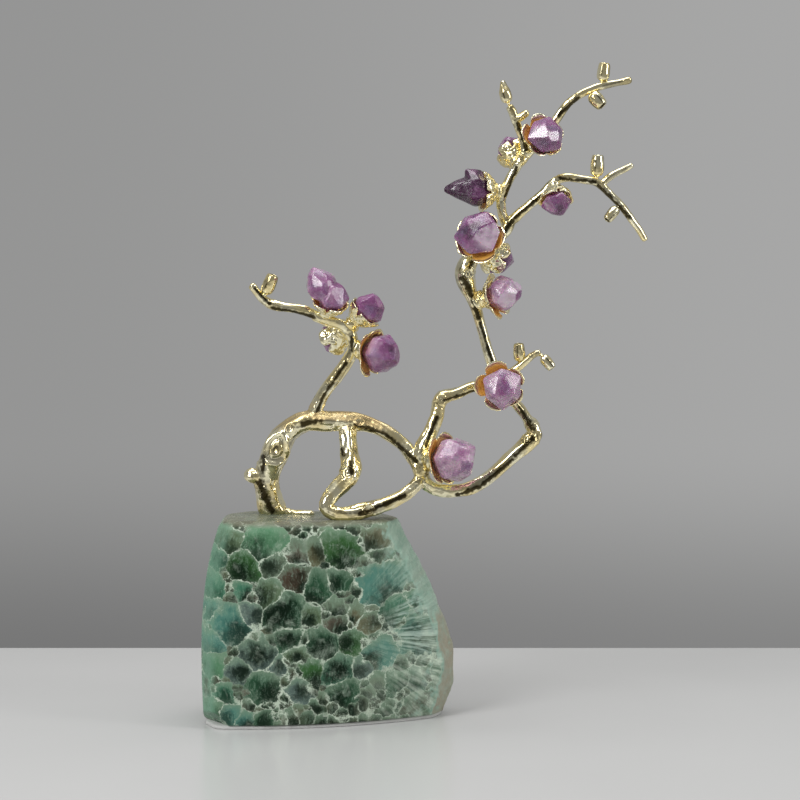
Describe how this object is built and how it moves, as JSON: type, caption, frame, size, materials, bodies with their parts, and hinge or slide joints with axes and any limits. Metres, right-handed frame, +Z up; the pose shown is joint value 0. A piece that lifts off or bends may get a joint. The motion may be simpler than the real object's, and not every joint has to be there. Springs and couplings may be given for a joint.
{
  "type": "gemstone tree ornament",
  "caption": "Gilt cast plum branch with amethyst blossoms and metal buds, pinned on a polished banded fluorite block with a felt pad under it.",
  "frame": {"origin": "on the pad's underside, below the middle of the stone block", "axes": "+Z up; +X along the branch's spread to the viewer's right; the polished front faces -Y"},
  "size_m": [0.2354, 0.0634, 0.3489],
  "materials": {
    "fluorite": "polished",
    "felt": "matte",
    "brass_stud": "plain turned",
    "gilt": "polished pale gold plating",
    "amethyst": "natural crystal faces",
    "resin": "clear glue"
  },
  "bodies": {
    "root": {"amethyst_crown_back": "amethyst", "amethyst_crown_front": "amethyst", "amethyst_left_back": "amethyst", "amethyst_left_low": "amethyst", "amethyst_left_side": "amethyst", "amethyst_left_top": "amethyst", "amethyst_ring_low": "amethyst", "amethyst_ring_top": "amethyst", "amethyst_twig_hanging": "amethyst", "amethyst_upper_back": "amethyst", "amethyst_upper_front": "amethyst", "amethyst_upper_left": "amethyst", "amethyst_upper_right": "amethyst", "base_pad": "felt", "bud_crown_left": "gilt", "bud_crown_top": "gilt", "bud_crown_under": "gilt", "bud_left_tip": "gilt", "bud_ring_side": "gilt", "bud_ring_up": "gilt", "bud_twig_top": "gilt", "bud_twig_under": "gilt", "crown_left_twig": "gilt", "crown_right_twig": "gilt", "cup_crown_back": "gilt", "cup_crown_front": "gilt", "cup_left_back": "gilt", "cup_left_low": "gilt", "cup_left_side": "gilt", "cup_left_top": "gilt", "cup_ring_low": "gilt", "cup_ring_top": "gilt", "cup_twig_hanging": "gilt", "cup_upper_back": "gilt", "cup_upper_front": "gilt", "cup_upper_left": "gilt", "cup_upper_right": "gilt", "fork_limb": "gilt", "glue_beds": "resin", "left_limb": "gilt", "left_twig": "gilt", "prop_root": "gilt", "right_spur": "gilt", "right_twig": "gilt", "ring_bud_twig": "gilt", "ring_left_limb": "gilt", "ring_right_limb": "gilt", "root_stud": "brass_stud", "stone_base": "fluorite", "trunk_arch": "gilt", "trunk_stud": "brass_stud", "upper_limb": "gilt"}
  },
  "joints": []
}
